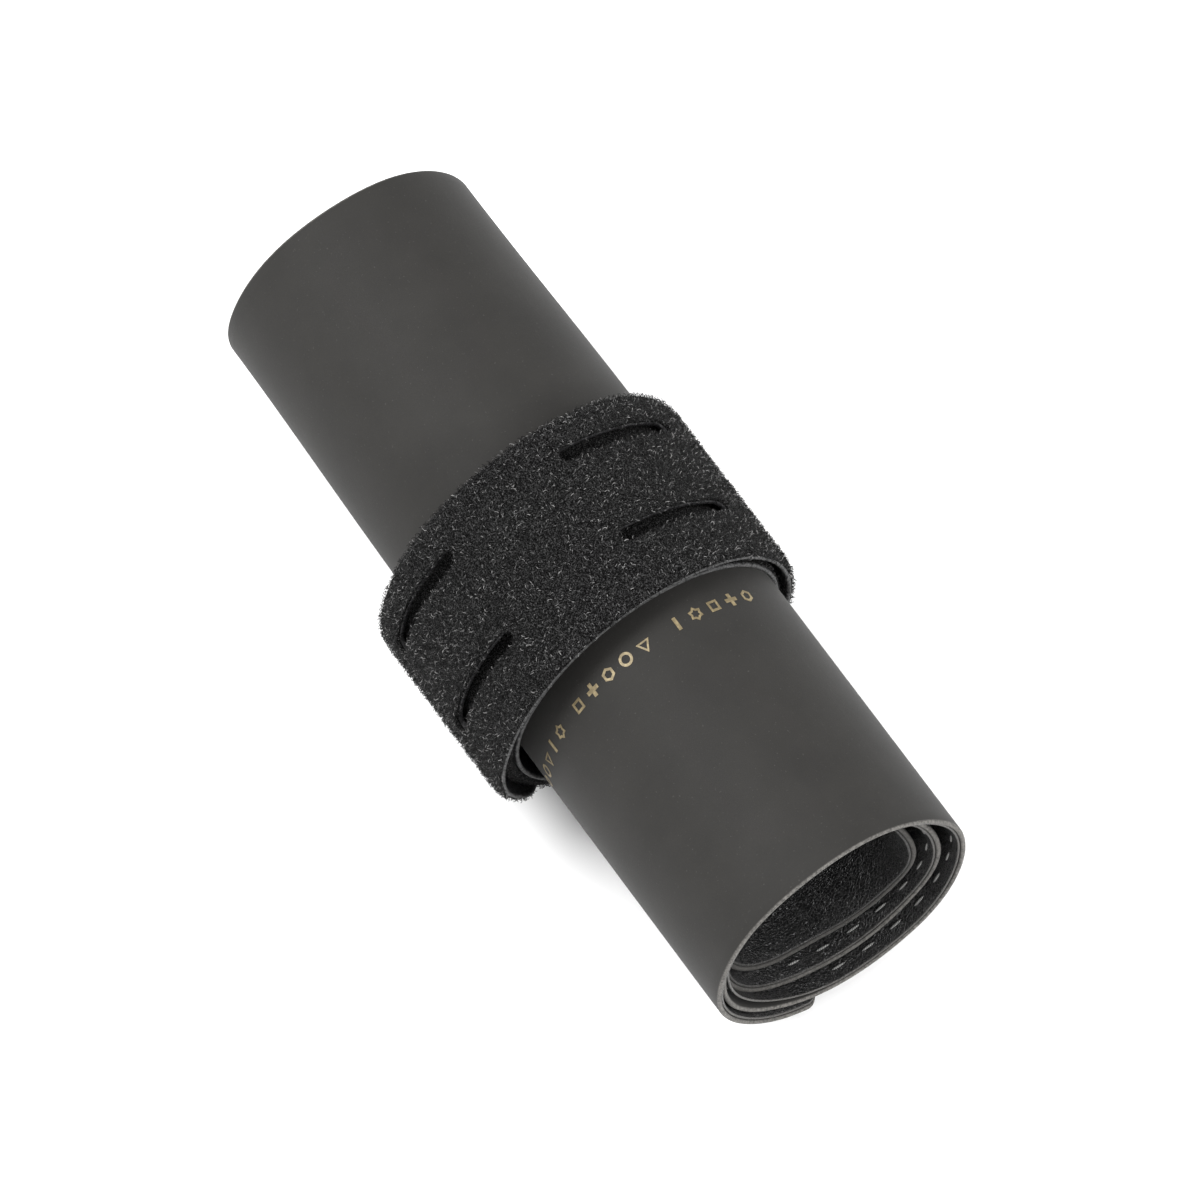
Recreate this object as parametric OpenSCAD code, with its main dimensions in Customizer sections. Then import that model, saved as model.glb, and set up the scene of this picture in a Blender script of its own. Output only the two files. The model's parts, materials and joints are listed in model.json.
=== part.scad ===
// Rolled tool wrap: a coated sheet rolled up on itself and closed by a wide hook-and-loop strap,
// with a small ratchet wrench, three driver bits and an extension bar in the hollow of the roll.
// The roll lies along X, its open end at +X. The origin is on the floor under the middle of the wrap.
// Angles are seen from +X: 0 is +Y, 90 is the top, and they keep growing along the sheet,
// from its inner edge outwards, turn after turn, and then along the strap.

/* [Roll] */
// Length of the rolled sheet
roll_len = 147.5; // [110:0.5:200]
// Outer radius of the outermost turn
roll_r = 25.6; // [24:0.1:40]
// How far each inner turn is set back from the end of the turn around it
edge_step = 3; // [0:0.5:5]
// How far each turn closes in at the top, and again at the bottom
close_in = 0.88; // [0.85:0.01:1.5]
// How far each turn closes in at the left side
close_in_left = 0.92; // [0.85:0.01:1.5]

/* [Sheet] */
// Thickness of the outer shell cloth
shell_t = 0.9; // [0.5:0.1:1]
// Thickness of the grained lining
lining_t = 0.5; // [0.3:0.1:0.6]
// Angle at which the rolled part ends and the flap begins
flap_at = 810; // [800:1:815]
// Angle of the sheet's free edge
free_edge = 974; // [968:1:980]

/* [Strap] */
// Width of the hook-and-loop strap
strap_w = 38; // [30:1:50]
// Thickness of the pile on the strap's outside
pile_t = 1.4; // [1:0.1:1.6]
// Thickness of the hook tape on the strap's inside
hook_t = 0.8; // [0.6:0.1:1]
// Angle at which the sewn-down part of the strap begins
strap_from = 690; // [640:1:720]
// Angle of the first fold of the free strap
strap_fold = 1050; // [1044:1:1056]
// Angle of the strap's tip
strap_tip = 1306; // [1296:1:1310]
// Width of the flat that the strap's lowest part is pressed to
rest_w = 10; // [4:1:14]

/* [Slots] */
// Length of each slot, for webbing of this width
slot_l = 25; // [16:1:26]
// Width of each slot
slot_w = 2.4; // [1.5:0.1:4]
// Distance between the two slots of a pair
slot_pitch = 17.4; // [10:0.1:24]
// Angle of the middle of the first pair, within the turn
slots_a_at = 63.5; // [60:0.1:66]
// Angle of the middle of the second pair, within the turn
slots_b_at = 157; // [152:0.1:160]
// Angle left whole between a slot's end and the next fold
slot_margin = 4.8; // [3:0.1:6]

/* [Tool sleeves] */
// Angles of the four tool sleeves around the hollow
sleeve_at = [15, 60, 120, 165]; // [0:1:180]
// Length of each sleeve
sleeve_l = 14; // [10:1:18]
// Wall of each sleeve
sleeve_wall = 0.6; // [0.4:0.1:1]
// Gap between a tool and the cloth around it
tool_gap = 0.4; // [0.3:0.05:0.8]
// Thickness of the pocket panel
pocket_t = 0.7; // [0.5:0.1:1]
// How far the tools stop short of the hollow's open end
tool_inset = 17.5; // [15:0.5:30]

/* [Tools] */
// Width across the flats of the hexagon drive
hex_af = 6.35; // [6:0.05:8]
// Length of a driver bit
bit_l = 25; // [20:1:30]
// Length of the extension bar
bar_l = 70; // [50:1:90]
// Radius of the extension bar
bar_r = 3.8; // [3.7:0.05:4]

/* [Ratchet] */
// Length from the middle of the head to the end of the handle
handle_l = 78; // [60:1:90]
// Width of the handle
handle_w = 11; // [9:0.5:13]
// Thickness of the handle
handle_t = 6; // [5:0.5:7]
// Radius of the head
head_r = 9; // [9:0.1:9.5]
// Height of the head
head_h = 11; // [10:0.5:12]
// Radius over the drive gear's teeth
gear_r = 6; // [5.8:0.1:6.2]
// Number of teeth on the drive gear
gear_teeth = 24; // [20:4:28]
// Depth of the drive gear's teeth
tooth_h = 0.7; // [0.5:0.1:0.9]
// Radius of the drive gear's journals
journal_r = 5; // [4.6:0.1:5.1]
// Radial clearance of journals and pins
run_gap = 0.05; // [0.02:0.01:0.1]
// Thickness of the cover on the head
cover_t = 1.6; // [1.2:0.1:2]
// Radius of the selector lever's pin
lever_pin_r = 1.5; // [1.2:0.1:1.8]

/* [Hidden] */

$fn = 96;
sheet_t = shell_t + lining_t;
strap_t = pile_t + hook_t;
// Gap between the strap and the shell under it
lay_gap = 0.05;
// Half of the angle left open at each fold
fold_gap = 0.45;
// Angle of the sheet's inner edge, and the quarter turns that the sheet runs through
inner_edge = -180;
first_quarter = floor(inner_edge / 90);
last_quarter = floor(free_edge / 90);
// Angle of the fold in the middle of the flap, where the last quarter turn begins
flap_fold = 90 * last_quarter;
// Colours of the pieces
c_shell = "#33322f";
c_lining = "#151517";
c_pile = "#1a1a1b";
c_hook = "#101011";
c_steel = "#b9bcc0";

function dir(a) = [cos(a), sin(a)];

// Each quarter turn of the sheet is an arc. At the quarter's end the arc's centre moves and its
// radius changes by the same amount, so that the next arc carries on without a corner.
function closing(a) = let (m = (a % 360 + 360) % 360)
    m == 0 ? 0 : m == 180 ? close_in_left : close_in;
function turn_r(q) = q >= last_quarter ? roll_r : turn_r(q + 1) - closing(90 * (q + 1));
function turn_c(q) = q >= last_quarter ? [0, 0] : turn_c(q + 1) + closing(90 * (q + 1)) * dir(90 * (q + 1));
function turn_half(q) = roll_len / 2 - edge_step * (free_edge - 90 * (q + 0.5)) / 360;

// The free strap: one arc from each fold to the next, loosening a little at each fold.
// slots_out is how far its inside stands off the roll where the slots are.
slots_out = 3.2;
slot_r = roll_r + lay_gap + slots_out + strap_t / 2;
slot_half = slot_l / 2 / slot_r * 180 / PI;
strap_turn = 1080;
folds = [
    free_edge,
    strap_fold,
    strap_turn + slots_a_at - slot_half - slot_margin,
    strap_turn + (slots_a_at + slots_b_at) / 2,
    strap_turn + slots_b_at + slot_half + slot_margin,
    strap_tip
];
loosen = [1.4, 0.9, 0.6, 0.3];
function arm_r(i) = i == 0 ? roll_r + lay_gap : arm_r(i - 1) + loosen[i - 1];
function arm_c(i) = i == 0 ? [0, 0] : arm_c(i - 1) - loosen[i - 1] * dir(folds[i]);

// The middle of the hollow, and its radius, from the three quarters of a turn before the sheet's
// innermost quarter, which runs inside them at the lower left
hollow_q = first_quarter + 1;
hollow_r = turn_r(hollow_q) - sheet_t;
hollow_c = turn_c(hollow_q);
hollow_end = turn_half(hollow_q);
tool_end = hollow_end - tool_inset;

// The whole wrap is moved so that the strap's flat lies on the floor and the wrap is centred
rest_r = roll_r + lay_gap + strap_t;
floor_z = -sqrt(rest_r * rest_r - rest_w * rest_w / 4);
right_y = arm_c(1).x + arm_r(1) + strap_t;
left_y = arm_c(3).x - arm_r(3) - strap_t;
wrap_at = [0, -(left_y + right_y) / 2, -floor_z];

// An arc-shaped band along X: angles a0 to a1 around c, from radius r outwards by t, from x0 to x1
module band(c, r, a0, a1, t, x0, x1) {
    translate([x0, c.x, c.y])
        rotate([90, 0, 90])
            rotate([0, 0, a0])
                rotate_extrude(angle = a1 - a0)
                    translate([r, 0])
                        square([t, x1 - x0]);
}

// A layer of the rolled sheet between two angles, from `out` outside the shell's face inwards by t
module sheet_layer(a0, a1, out, t, half = 0) {
    translate(wrap_at)
        for (q = [floor(a0 / 90) : floor((a1 - 0.01) / 90)])
            let (lo = max(a0, 90 * q), hi = min(a1, 90 * (q + 1)), w = half > 0 ? half : turn_half(q))
                band(turn_c(q), turn_r(q) + out, lo, hi, t, -w, w);
}

// One stretch of the free strap, i, with its slots if it has any; `from` is measured from its inside
module strap_layer(i, from, t, slots = false) {
    mid = (i == 2 ? slots_a_at : slots_b_at) + strap_turn;
    r = arm_r(i) + from;
    translate(wrap_at)
        difference() {
            band(arm_c(i), r, folds[i] + fold_gap, folds[i + 1] - fold_gap, t, -strap_w / 2, strap_w / 2);
            if (slots)
                for (side = [-1, 1])
                    band(arm_c(i), r - 1, mid - slot_half, mid + slot_half, t + 2,
                        side * slot_pitch / 2 - slot_w / 2, side * slot_pitch / 2 + slot_w / 2);
        }
}

// ---- the rolled sheet ----

module shell_roll() {
    color(c_shell) sheet_layer(inner_edge, flap_at - fold_gap, -shell_t, shell_t);
}

module lining_roll() {
    color(c_lining) sheet_layer(inner_edge, flap_at - fold_gap, -sheet_t, lining_t);
}

module shell_flap_upper() {
    color(c_shell) sheet_layer(flap_at + fold_gap, flap_fold - fold_gap, -shell_t, shell_t);
}

module lining_flap_upper() {
    color(c_lining) sheet_layer(flap_at + fold_gap, flap_fold - fold_gap, -sheet_t, lining_t);
}

module shell_flap_lower() {
    color(c_shell) sheet_layer(flap_fold + fold_gap, free_edge - fold_gap, -shell_t, shell_t);
}

module lining_flap_lower() {
    color(c_lining) sheet_layer(flap_fold + fold_gap, free_edge - fold_gap, -sheet_t, lining_t);
}

// ---- the sewn-down part of the strap: a backing on the shell, and the pile on it ----

module strap_base(a0, a1, pile) {
    color(pile ? c_pile : c_hook)
        sheet_layer(a0, a1, pile ? hook_t : 0, pile ? pile_t : hook_t, strap_w / 2);
}

module strap_back_roll() {
    strap_base(strap_from, flap_at - fold_gap, false);
}

module strap_pile_roll() {
    strap_base(strap_from, flap_at - fold_gap, true);
}

module strap_back_upper() {
    strap_base(flap_at + fold_gap, flap_fold - fold_gap, false);
}

module strap_pile_upper() {
    strap_base(flap_at + fold_gap, flap_fold - fold_gap, true);
}

module strap_back_lower() {
    strap_base(flap_fold + fold_gap, free_edge - fold_gap, false);
}

module strap_pile_lower() {
    strap_base(flap_fold + fold_gap, free_edge - fold_gap, true);
}

// ---- the free strap ----

module strap_hook(i, slots = false) {
    color(c_hook) strap_layer(i, 0, hook_t, slots);
}

module strap_pile(i, slots = false) {
    color(c_pile) strap_layer(i, hook_t, pile_t, slots);
}

module strap_hook_1() {
    strap_hook(0);
}

module strap_pile_1() {
    color(c_pile)
        difference() {
            strap_pile(0);
            translate([-strap_w, -roll_r, -roll_r])
                cube([2 * strap_w, 2 * roll_r, roll_r]);
        }
}

module strap_hook_2() {
    strap_hook(1);
}

module strap_pile_2() {
    strap_pile(1);
}

module strap_hook_3() {
    strap_hook(2, true);
}

module strap_pile_3() {
    strap_pile(2, true);
}

module strap_hook_4() {
    strap_hook(3, true);
}

module strap_pile_4() {
    strap_pile(3, true);
}

module tab_hook() {
    strap_hook(4);
}

module tab_pile() {
    strap_pile(4);
}

// ---- the pockets in the hollow ----

// Moves its children to the middle of the hollow
module in_hollow() {
    translate(wrap_at + [0, hollow_c.x, hollow_c.y]) children();
}

// The ratchet lies in the lower half of the hollow, under the pocket panel
head_x = tool_end - head_r;
ratchet_z = -6.5;
panel_z = ratchet_z + handle_t / 2 + tool_gap;
// Radius of a sleeve's bore, and the distance of its middle from the hollow's
bore_r = hex_af / sqrt(3) + tool_gap;
sleeve_out = hollow_r - bore_r - sleeve_wall;
sleeve_x = tool_end - bit_l + 6;

module along_x(x, l, r) {
    translate([x, 0, 0]) rotate([0, 90, 0]) cylinder(h = l, r = r);
}

module pocket_panel() {
    color(c_lining)
        in_hollow()
            intersection() {
                along_x(-roll_len / 2, roll_len, hollow_r);
                union() {
                    translate([0, turn_c(first_quarter).x - hollow_c.x, turn_c(first_quarter).y - hollow_c.y])
                        along_x(-roll_len / 2, roll_len, turn_r(first_quarter) - sheet_t);
                    translate([-roll_len / 2, 0, -hollow_r])
                        cube([roll_len, hollow_r, 2 * hollow_r]);
                }
                translate([head_x - handle_l - 4, -hollow_r, panel_z])
                    cube([handle_l + 4 + lever_x - lever_l - 2, 2 * hollow_r, pocket_t]);
            }
}

module tool_sleeves() {
    color(c_lining)
        in_hollow()
            for (a = sleeve_at)
                intersection() {
                    along_x(-roll_len / 2, roll_len, hollow_r);
                    translate([0, sleeve_out * cos(a), sleeve_out * sin(a)])
                        difference() {
                            along_x(sleeve_x, sleeve_l, bore_r + sleeve_wall + 0.1);
                            along_x(sleeve_x - 1, sleeve_l + 2, bore_r);
                        }
                }
}

// ---- the tools in the sleeves ----

module in_sleeve(i) {
    in_hollow()
        translate([0, sleeve_out * cos(sleeve_at[i]), sleeve_out * sin(sleeve_at[i])]) children();
}

module hexagon(x, l, af) {
    translate([x, 0, 0])
        rotate([0, 90, 0])
            cylinder(h = l, r = af / sqrt(3), $fn = 6);
}

// Length of a bit's hexagon shank, and of its tip
shank_l = 15;
tip_l = 4;

// A driver bit: hexagon shank with a groove, a round neck, and its tip as the children
module driver_bit(i, neck_r) {
    groove_x = tool_end - 9;
    groove_w = 1.5;
    groove_r = hex_af / 2 - 0.2;
    color(c_steel)
        in_sleeve(i) {
            difference() {
                hexagon(tool_end - shank_l, shank_l, hex_af);
                difference() {
                    along_x(groove_x, groove_w, hex_af);
                    along_x(groove_x - 1, groove_w + 2, groove_r);
                }
            }
            along_x(tool_end - bit_l + tip_l, bit_l - tip_l - shank_l, neck_r);
            children();
        }
}

module bit_hex_large() {
    driver_bit(0, 2.9) hexagon(tool_end - bit_l, tip_l, 5);
}

module bit_hex_small() {
    driver_bit(1, 2.4) hexagon(tool_end - bit_l, tip_l, 4);
}

module bit_cross() {
    driver_bit(2, 2.6)
        for (turn = [0, 90])
            rotate([turn, 0, 0])
                translate([tool_end - bit_l, -0.6, -2])
                    cube([tip_l, 1.2, 4]);
}

// A round bar with a hexagon shank at one end and a shallow round recess in the other
module extension_bar() {
    recess_l = 3;
    recess_r = 2.4;
    bar_shank_l = 12;
    color(c_steel)
        in_sleeve(3) {
            difference() {
                along_x(tool_end - bar_l + bar_shank_l, bar_l - bar_shank_l, bar_r);
                along_x(tool_end - recess_l, recess_l + 1, recess_r);
            }
            hexagon(tool_end - bar_l, bar_shank_l, hex_af);
        }
}

// ---- the ratchet ----

// The chamber for the gear is open upwards, under the cover
chamber_floor = (head_h - handle_t) / 2;
chamber_h = head_h - chamber_floor - cover_t;
chamber_r = gear_r + 0.4;
pawl_x = -gear_r - 0.8;
lever_x = -head_r - 6;
lever_l = 9;
screw_r = 0.9;
screw_l = 4;
screw_head_r = 1.3;
screw_head_h = 0.6;
screw_ring = (chamber_r + head_r) / 2 + 0.1;
screw_at = [70, -70];

module in_ratchet() {
    in_hollow() translate([head_x, 0, ratchet_z - head_h / 2]) children();
}

// The pawl's block, or with a gap around it the room for it, with space for the spring behind
spring_room = 0.8;
leaf_chord = 4.4;
module pawl_room(gap, behind = 0) {
    translate([pawl_x - 1.6 - gap - behind, -2.6 - gap, 0])
        cube([3.6 + 2 * gap + behind, 5.2 + 2 * gap, chamber_h - 1]);
}

module ratchet_handle() {
    color(c_steel)
        in_ratchet()
            difference() {
                union() {
                    cylinder(h = head_h - cover_t, r = head_r);
                    translate([-handle_l + handle_w / 2, -handle_w / 2, (head_h - handle_t) / 2])
                        cube([handle_l - handle_w / 2 - head_r / 2, handle_w, handle_t]);
                    translate([-handle_l + handle_w / 2, 0, (head_h - handle_t) / 2])
                        cylinder(h = handle_t, r = handle_w / 2);
                }
                translate([0, 0, chamber_floor])
                    cylinder(h = head_h, r = chamber_r);
                translate([0, 0, -1])
                    cylinder(h = head_h, r = journal_r + run_gap);
                translate([0, 0, chamber_floor])
                    pawl_room(run_gap, spring_room);
                translate([lever_x, 0, 0])
                    cylinder(h = head_h, r = lever_pin_r + run_gap);
                for (a = screw_at)
                    rotate([0, 0, a])
                        translate([screw_ring, 0, head_h - cover_t - screw_l])
                            cylinder(h = screw_l + 1, r = screw_r);
            }
}

module head_cover() {
    color(c_steel)
        in_ratchet()
            translate([0, 0, head_h - cover_t])
                difference() {
                    cylinder(h = cover_t, r = head_r);
                    translate([0, 0, -1])
                        cylinder(h = cover_t + 2, r = journal_r + run_gap);
                    for (a = screw_at)
                        rotate([0, 0, a])
                            translate([screw_ring, 0, -1])
                                cylinder(h = cover_t + 2, r = screw_r + 0.1);
                }
}

module cover_screws() {
    color("#8d8f92")
        in_ratchet()
            for (a = screw_at)
                rotate([0, 0, a])
                    translate([screw_ring, 0, head_h - cover_t - screw_l])
                        difference() {
                            union() {
                                cylinder(h = screw_l + cover_t, r = screw_r);
                                translate([0, 0, screw_l + cover_t])
                                    cylinder(h = screw_head_h, r = screw_head_r);
                            }
                            translate([0, 0, screw_l + cover_t - screw_head_h / 2])
                                cylinder(h = 2, r = screw_head_h, $fn = 6);
                        }
}

// The gear's outline: each tooth rises from the root to a flat tip and falls again
gear_pitch = 360 / gear_teeth;
gear_outline = [
    for (k = [0 : gear_teeth - 1], p = [[0, 0], [0.35, 1], [0.6, 1], [0.95, 0]])
        (gear_r - tooth_h + p[1] * tooth_h) * dir(180 + gear_pitch * (k + p[0]))
];

module drive_gear() {
    color(c_steel)
        in_ratchet()
            difference() {
                union() {
                    cylinder(h = head_h, r = journal_r);
                    translate([0, 0, chamber_floor + 0.1])
                        linear_extrude(height = chamber_h - 0.2)
                            polygon(gear_outline);
                }
                translate([0, 0, -1])
                    cylinder(h = head_h + 2, r = (hex_af + 2 * run_gap) / sqrt(3), $fn = 6);
            }
}

// The pawl sits behind the gear; its nose is clear of the teeth's tips by the running clearance
module pawl() {
    color("#77797c")
        in_ratchet()
            translate([0, 0, chamber_floor])
                difference() {
                    pawl_room(0);
                    translate([0, 0, -1])
                        cylinder(h = head_h, r = gear_r + run_gap);
                }
}

// A bowed leaf between the pawl's back and the wall behind it
module pawl_spring() {
    leaf_t = 0.25;
    bow_r = (pow(leaf_chord / 2, 2) + pow(spring_room - leaf_t, 2)) / 2 / (spring_room - leaf_t);
    half = asin(leaf_chord / 2 / bow_r);
    color("#9a9c9f")
        in_ratchet()
            translate([pawl_x - 1.6 - bow_r - 0.02, 0, chamber_floor + 1])
                rotate([0, 0, -half])
                    rotate_extrude(angle = 2 * half)
                        translate([bow_r - leaf_t, 0])
                            square([leaf_t, chamber_h - 3]);
}

module selector_lever() {
    plate_t = 1.2;
    top = (head_h + handle_t) / 2;
    color("#2a2b2d")
        in_ratchet()
            translate([lever_x, 0, 0]) {
                translate([0, 0, top - 4])
                    cylinder(h = 4 + 0.1, r = lever_pin_r);
                translate([0, 0, top + 0.1])
                    cylinder(h = plate_t, r = 3);
                translate([-lever_l, -1.5, top + 0.1])
                    cube([lever_l, 3, plate_t]);
            }
}

shell_roll();
lining_roll();
pocket_panel();
tool_sleeves();
strap_back_roll();
strap_pile_roll();
shell_flap_upper();
lining_flap_upper();
strap_back_upper();
strap_pile_upper();
shell_flap_lower();
lining_flap_lower();
strap_back_lower();
strap_pile_lower();
strap_hook_1();
strap_pile_1();
strap_hook_2();
strap_pile_2();
strap_hook_3();
strap_pile_3();
strap_hook_4();
strap_pile_4();
tab_hook();
tab_pile();
ratchet_handle();
head_cover();
cover_screws();
drive_gear();
pawl();
pawl_spring();
selector_lever();
bit_hex_large();
bit_hex_small();
bit_cross();
extension_bar();
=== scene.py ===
# %% [markdown]
# # A rolled tool wrap
# The real object is a sheet of coated cloth with a grained lining. It is rolled up on itself about three
# times and held shut by a wide hook-and-loop strap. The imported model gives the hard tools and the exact
# places of everything. This script makes the soft parts over it and gives every surface its finish.

# %% Load the frame
import json
import math

import bmesh
import bpy
import numpy as np
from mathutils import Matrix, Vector


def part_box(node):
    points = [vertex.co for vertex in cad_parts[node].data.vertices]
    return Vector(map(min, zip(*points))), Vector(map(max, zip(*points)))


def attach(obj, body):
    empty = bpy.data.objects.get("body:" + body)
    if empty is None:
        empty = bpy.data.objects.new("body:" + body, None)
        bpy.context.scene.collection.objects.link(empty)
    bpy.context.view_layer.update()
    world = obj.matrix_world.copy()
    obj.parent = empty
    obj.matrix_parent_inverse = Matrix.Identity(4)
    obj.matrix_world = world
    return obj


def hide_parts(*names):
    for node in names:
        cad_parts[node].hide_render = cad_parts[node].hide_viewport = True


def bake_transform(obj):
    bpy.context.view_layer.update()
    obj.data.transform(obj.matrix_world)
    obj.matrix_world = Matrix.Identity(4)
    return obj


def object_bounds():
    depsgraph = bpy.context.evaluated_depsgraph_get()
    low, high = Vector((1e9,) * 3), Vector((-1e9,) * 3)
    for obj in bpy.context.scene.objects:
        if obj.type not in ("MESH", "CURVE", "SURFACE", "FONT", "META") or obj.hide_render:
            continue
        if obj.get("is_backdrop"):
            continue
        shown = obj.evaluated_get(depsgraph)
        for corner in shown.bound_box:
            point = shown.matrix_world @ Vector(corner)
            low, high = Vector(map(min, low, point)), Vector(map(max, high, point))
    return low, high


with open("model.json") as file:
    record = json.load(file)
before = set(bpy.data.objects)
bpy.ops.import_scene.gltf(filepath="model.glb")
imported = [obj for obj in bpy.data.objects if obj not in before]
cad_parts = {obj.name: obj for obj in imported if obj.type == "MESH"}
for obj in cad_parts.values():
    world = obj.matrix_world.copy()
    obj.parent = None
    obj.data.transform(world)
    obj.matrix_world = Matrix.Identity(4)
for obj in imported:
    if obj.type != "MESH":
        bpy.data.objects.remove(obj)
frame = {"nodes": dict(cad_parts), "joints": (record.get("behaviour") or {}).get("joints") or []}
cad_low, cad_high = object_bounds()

MM = 0.001

# %% [markdown]
# ## The path of the sheet
# In cross-section the sheet is a spiral. A spiral could be one formula with a growing radius, but rolled
# cloth sags and closes in more at one side than at the other. So each quarter turn is an arc of its own.
# Where one arc ends, its centre moves and its radius changes by the same amount, and the next arc carries
# on with no corner. Angles are seen from the open end: 0 is right, 90 is the top, and they keep growing.

# %% The sheet's spiral
ROLL_R = 25.6
CLOSE_IN = 0.88
CLOSE_IN_LEFT = 0.92
SHELL_T = 0.9
LINING_T = 0.5
STRAP_T = 2.2
HOOK_T = 0.8
INNER_EDGE, FLAP_FOLD, FREE_EDGE = -180, 900, 974
STRAP_FROM, STRAP_TIP = 690, 1306
SHEET_END = 979

hinge = {j["name"]: j for j in frame["joints"]}


def direction(angle):
    """The unit vector (y, z) at an angle in degrees."""
    return np.array([math.cos(math.radians(angle)), math.sin(math.radians(angle))])


# The outermost arc's centre, worked out from the hinge at its end, which lies on the strap's face
fold_y, fold_z = hinge["flap_unfold"]["pos_m"][1] / MM, hinge["flap_unfold"]["pos_m"][2] / MM
ROLL_CENTRE = np.array([fold_y, fold_z]) - (ROLL_R + STRAP_T) * direction(FLAP_FOLD)


def closing(angle):
    """How far the spiral closes in where one quarter turn meets the next."""
    turn = angle % 360
    return {0: 0, 180: CLOSE_IN_LEFT}.get(turn, CLOSE_IN)


def sheet_path(angle):
    """Centre and outer radius of the sheet's arc at an angle."""
    centre, radius = ROLL_CENTRE.copy(), ROLL_R
    quarter = 10
    while angle < 90 * quarter:
        step = closing(90 * quarter)
        centre = centre + step * direction(90 * quarter)
        radius -= step
        quarter -= 1
    return centre, radius


SLOT_ANGLES = (63.5, 157)
SLOT_L, SLOT_W, SLOT_PITCH = 25, 2.4, 17.4
SLOT_HALF = math.degrees(SLOT_L / 2 / (ROLL_R + 0.05 + 3.2 + STRAP_T / 2))
FOLDS = [
    FREE_EDGE,
    1050,
    1080 + SLOT_ANGLES[0] - SLOT_HALF - 4.8,
    1080 + sum(SLOT_ANGLES) / 2,
    1080 + SLOT_ANGLES[1] + SLOT_HALF + 4.8,
]
LOOSEN = [1.4, 0.9, 0.6, 0.3]


def strap_path(angle):
    """Centre and inner radius of the strap: sewn on the sheet first, then free and looser at each fold."""
    if angle < FREE_EDGE:
        return sheet_path(angle)
    centre, radius = ROLL_CENTRE.copy(), ROLL_R + 0.05
    for fold, step in zip(FOLDS[1:], LOOSEN):
        if angle >= fold:
            centre = centre - step * direction(fold)
            radius += step
    return centre, radius


def swell(angle):
    """From 0 to 1: where the sewn-down part of the strap is slack, at the lower left."""
    return math.sin(math.radians((angle - 852) * 180 / 134)) ** 2 if 852 < angle < 986 else 0.0


def strap_lean(angle):
    """How far the strap stands off its path: slack at the lower left, tight at the right and at its tip."""
    slack = 1.7 * swell(angle)
    free = min(1.0, max(0.0, (angle - FREE_EDGE) / 70))
    tip = min(1.0, max(0.0, (angle - 1270) / 36))
    return slack + free * (0.25 - 1.0 * math.cos(math.radians(angle))) - 2.4 * tip * tip


def strap_middle(angle):
    """Where the strap's middle lies along the roll: it was wound on slightly askew."""
    return float(np.interp(angle, [FREE_EDGE, 1130, 1245, 1268, STRAP_TIP], [0.6, 1.2, 3.6, 3.2, 1.0]))


print("roll centre (mm):", ROLL_CENTRE.round(2), "folds:", [round(f, 1) for f in FOLDS])

# %% [markdown]
# ## Sweeping a profile along a path
# Sheet, lining and strap are all the same kind of shape: a flat section carried along a curved path. The
# section is an outline of (x, out) points, where x runs along the roll and out is the distance outside the
# path. Extruding a curve would do this too, but here the section's ends move from turn to turn, so the
# mesh is built directly, ring by ring, and closed with a face at each end.

# %% A helper that sweeps a section
def make_object(name, vertices, faces, attributes=None):
    mesh = bpy.data.meshes.new(name)
    mesh.from_pydata([tuple(v) for v in vertices], [], faces)
    for key, values in (attributes or {}).items():
        mesh.attributes.new(key, "FLOAT", "POINT").data.foreach_set("value", np.asarray(values, np.float32))
    mesh.validate()
    made = bpy.data.objects.new(name, mesh)
    bpy.context.collection.objects.link(made)
    return made


def taper(x):
    """The far half of the roll is wound a little tighter than the near half."""
    t = min(1.0, max(0.0, (-x - 16) / 56))
    return 1 - 0.035 * t * t * (3 - 2 * t)


def place(path, angle, x, out, tapered=True):
    """The point at an angle on a path, x along the roll and out from the path, in metres."""
    centre, radius = path(angle)
    yz = centre + (radius + out) * direction(angle)
    if tapered:
        yz = ROLL_CENTRE + (yz - ROLL_CENTRE) * taper(x)
    return np.array([x, yz[0], yz[1]]) * MM


def sweep(name, path, angles, section, tapered=True):
    """Carries section(angle), a list of (x, out, attribute) points, along the angles."""
    rings = [section(a) for a in angles]
    n = len(rings[0])
    vertices = [place(path, a, x, out, tapered) for a, ring in zip(angles, rings) for x, out, _ in ring]
    marks = [m for ring in rings for _, _, m in ring]
    faces = [
        (r * n + k, (r + 1) * n + k, (r + 1) * n + (k + 1) % n, r * n + (k + 1) % n)
        for r in range(len(angles) - 1)
        for k in range(n)
    ]
    faces.append(tuple(range(n)))
    faces.append(tuple((len(angles) - 1) * n + k for k in reversed(range(n))))
    made = make_object(name, vertices, faces, {"cut": marks})
    made.data.shade_smooth()
    made.data.set_sharp_from_angle(angle=math.radians(50))
    return made


def band_section(low_x, high_x, inner, outer, across=48, round_steps=4):
    """A flat section with rounded ends, in order round its outline. The attribute is 1 on the cut ends."""
    r = (outer - inner) / 2
    mid = (outer + inner) / 2
    a, b = low_x + r, high_x - r
    inset = [0, 0.012, 0.03] if high_x - low_x > 40 else [0, 0.02]
    shares = inset + list(np.linspace(0.05, 0.95, across - 2 * len(inset))) + [1 - s for s in reversed(inset)]
    out_side = [(a + (b - a) * s, outer, 0.0) for s in shares]
    in_side = [(a + (b - a) * s, inner, 0.0) for s in reversed(shares)]
    turn = np.linspace(0, math.pi, round_steps + 2)[1:-1]
    high_end = [(b + r * math.sin(t), mid + r * math.cos(t), 1.0) for t in turn]
    low_end = [(a - r * math.sin(t), mid - r * math.cos(t), 1.0) for t in turn]
    return out_side + high_end + in_side + low_end


def steps(start, end, size):
    """Evenly spaced values from start to end, about size apart."""
    return np.linspace(start, end, max(3, int(abs(end - start) / size) + 1))

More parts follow.
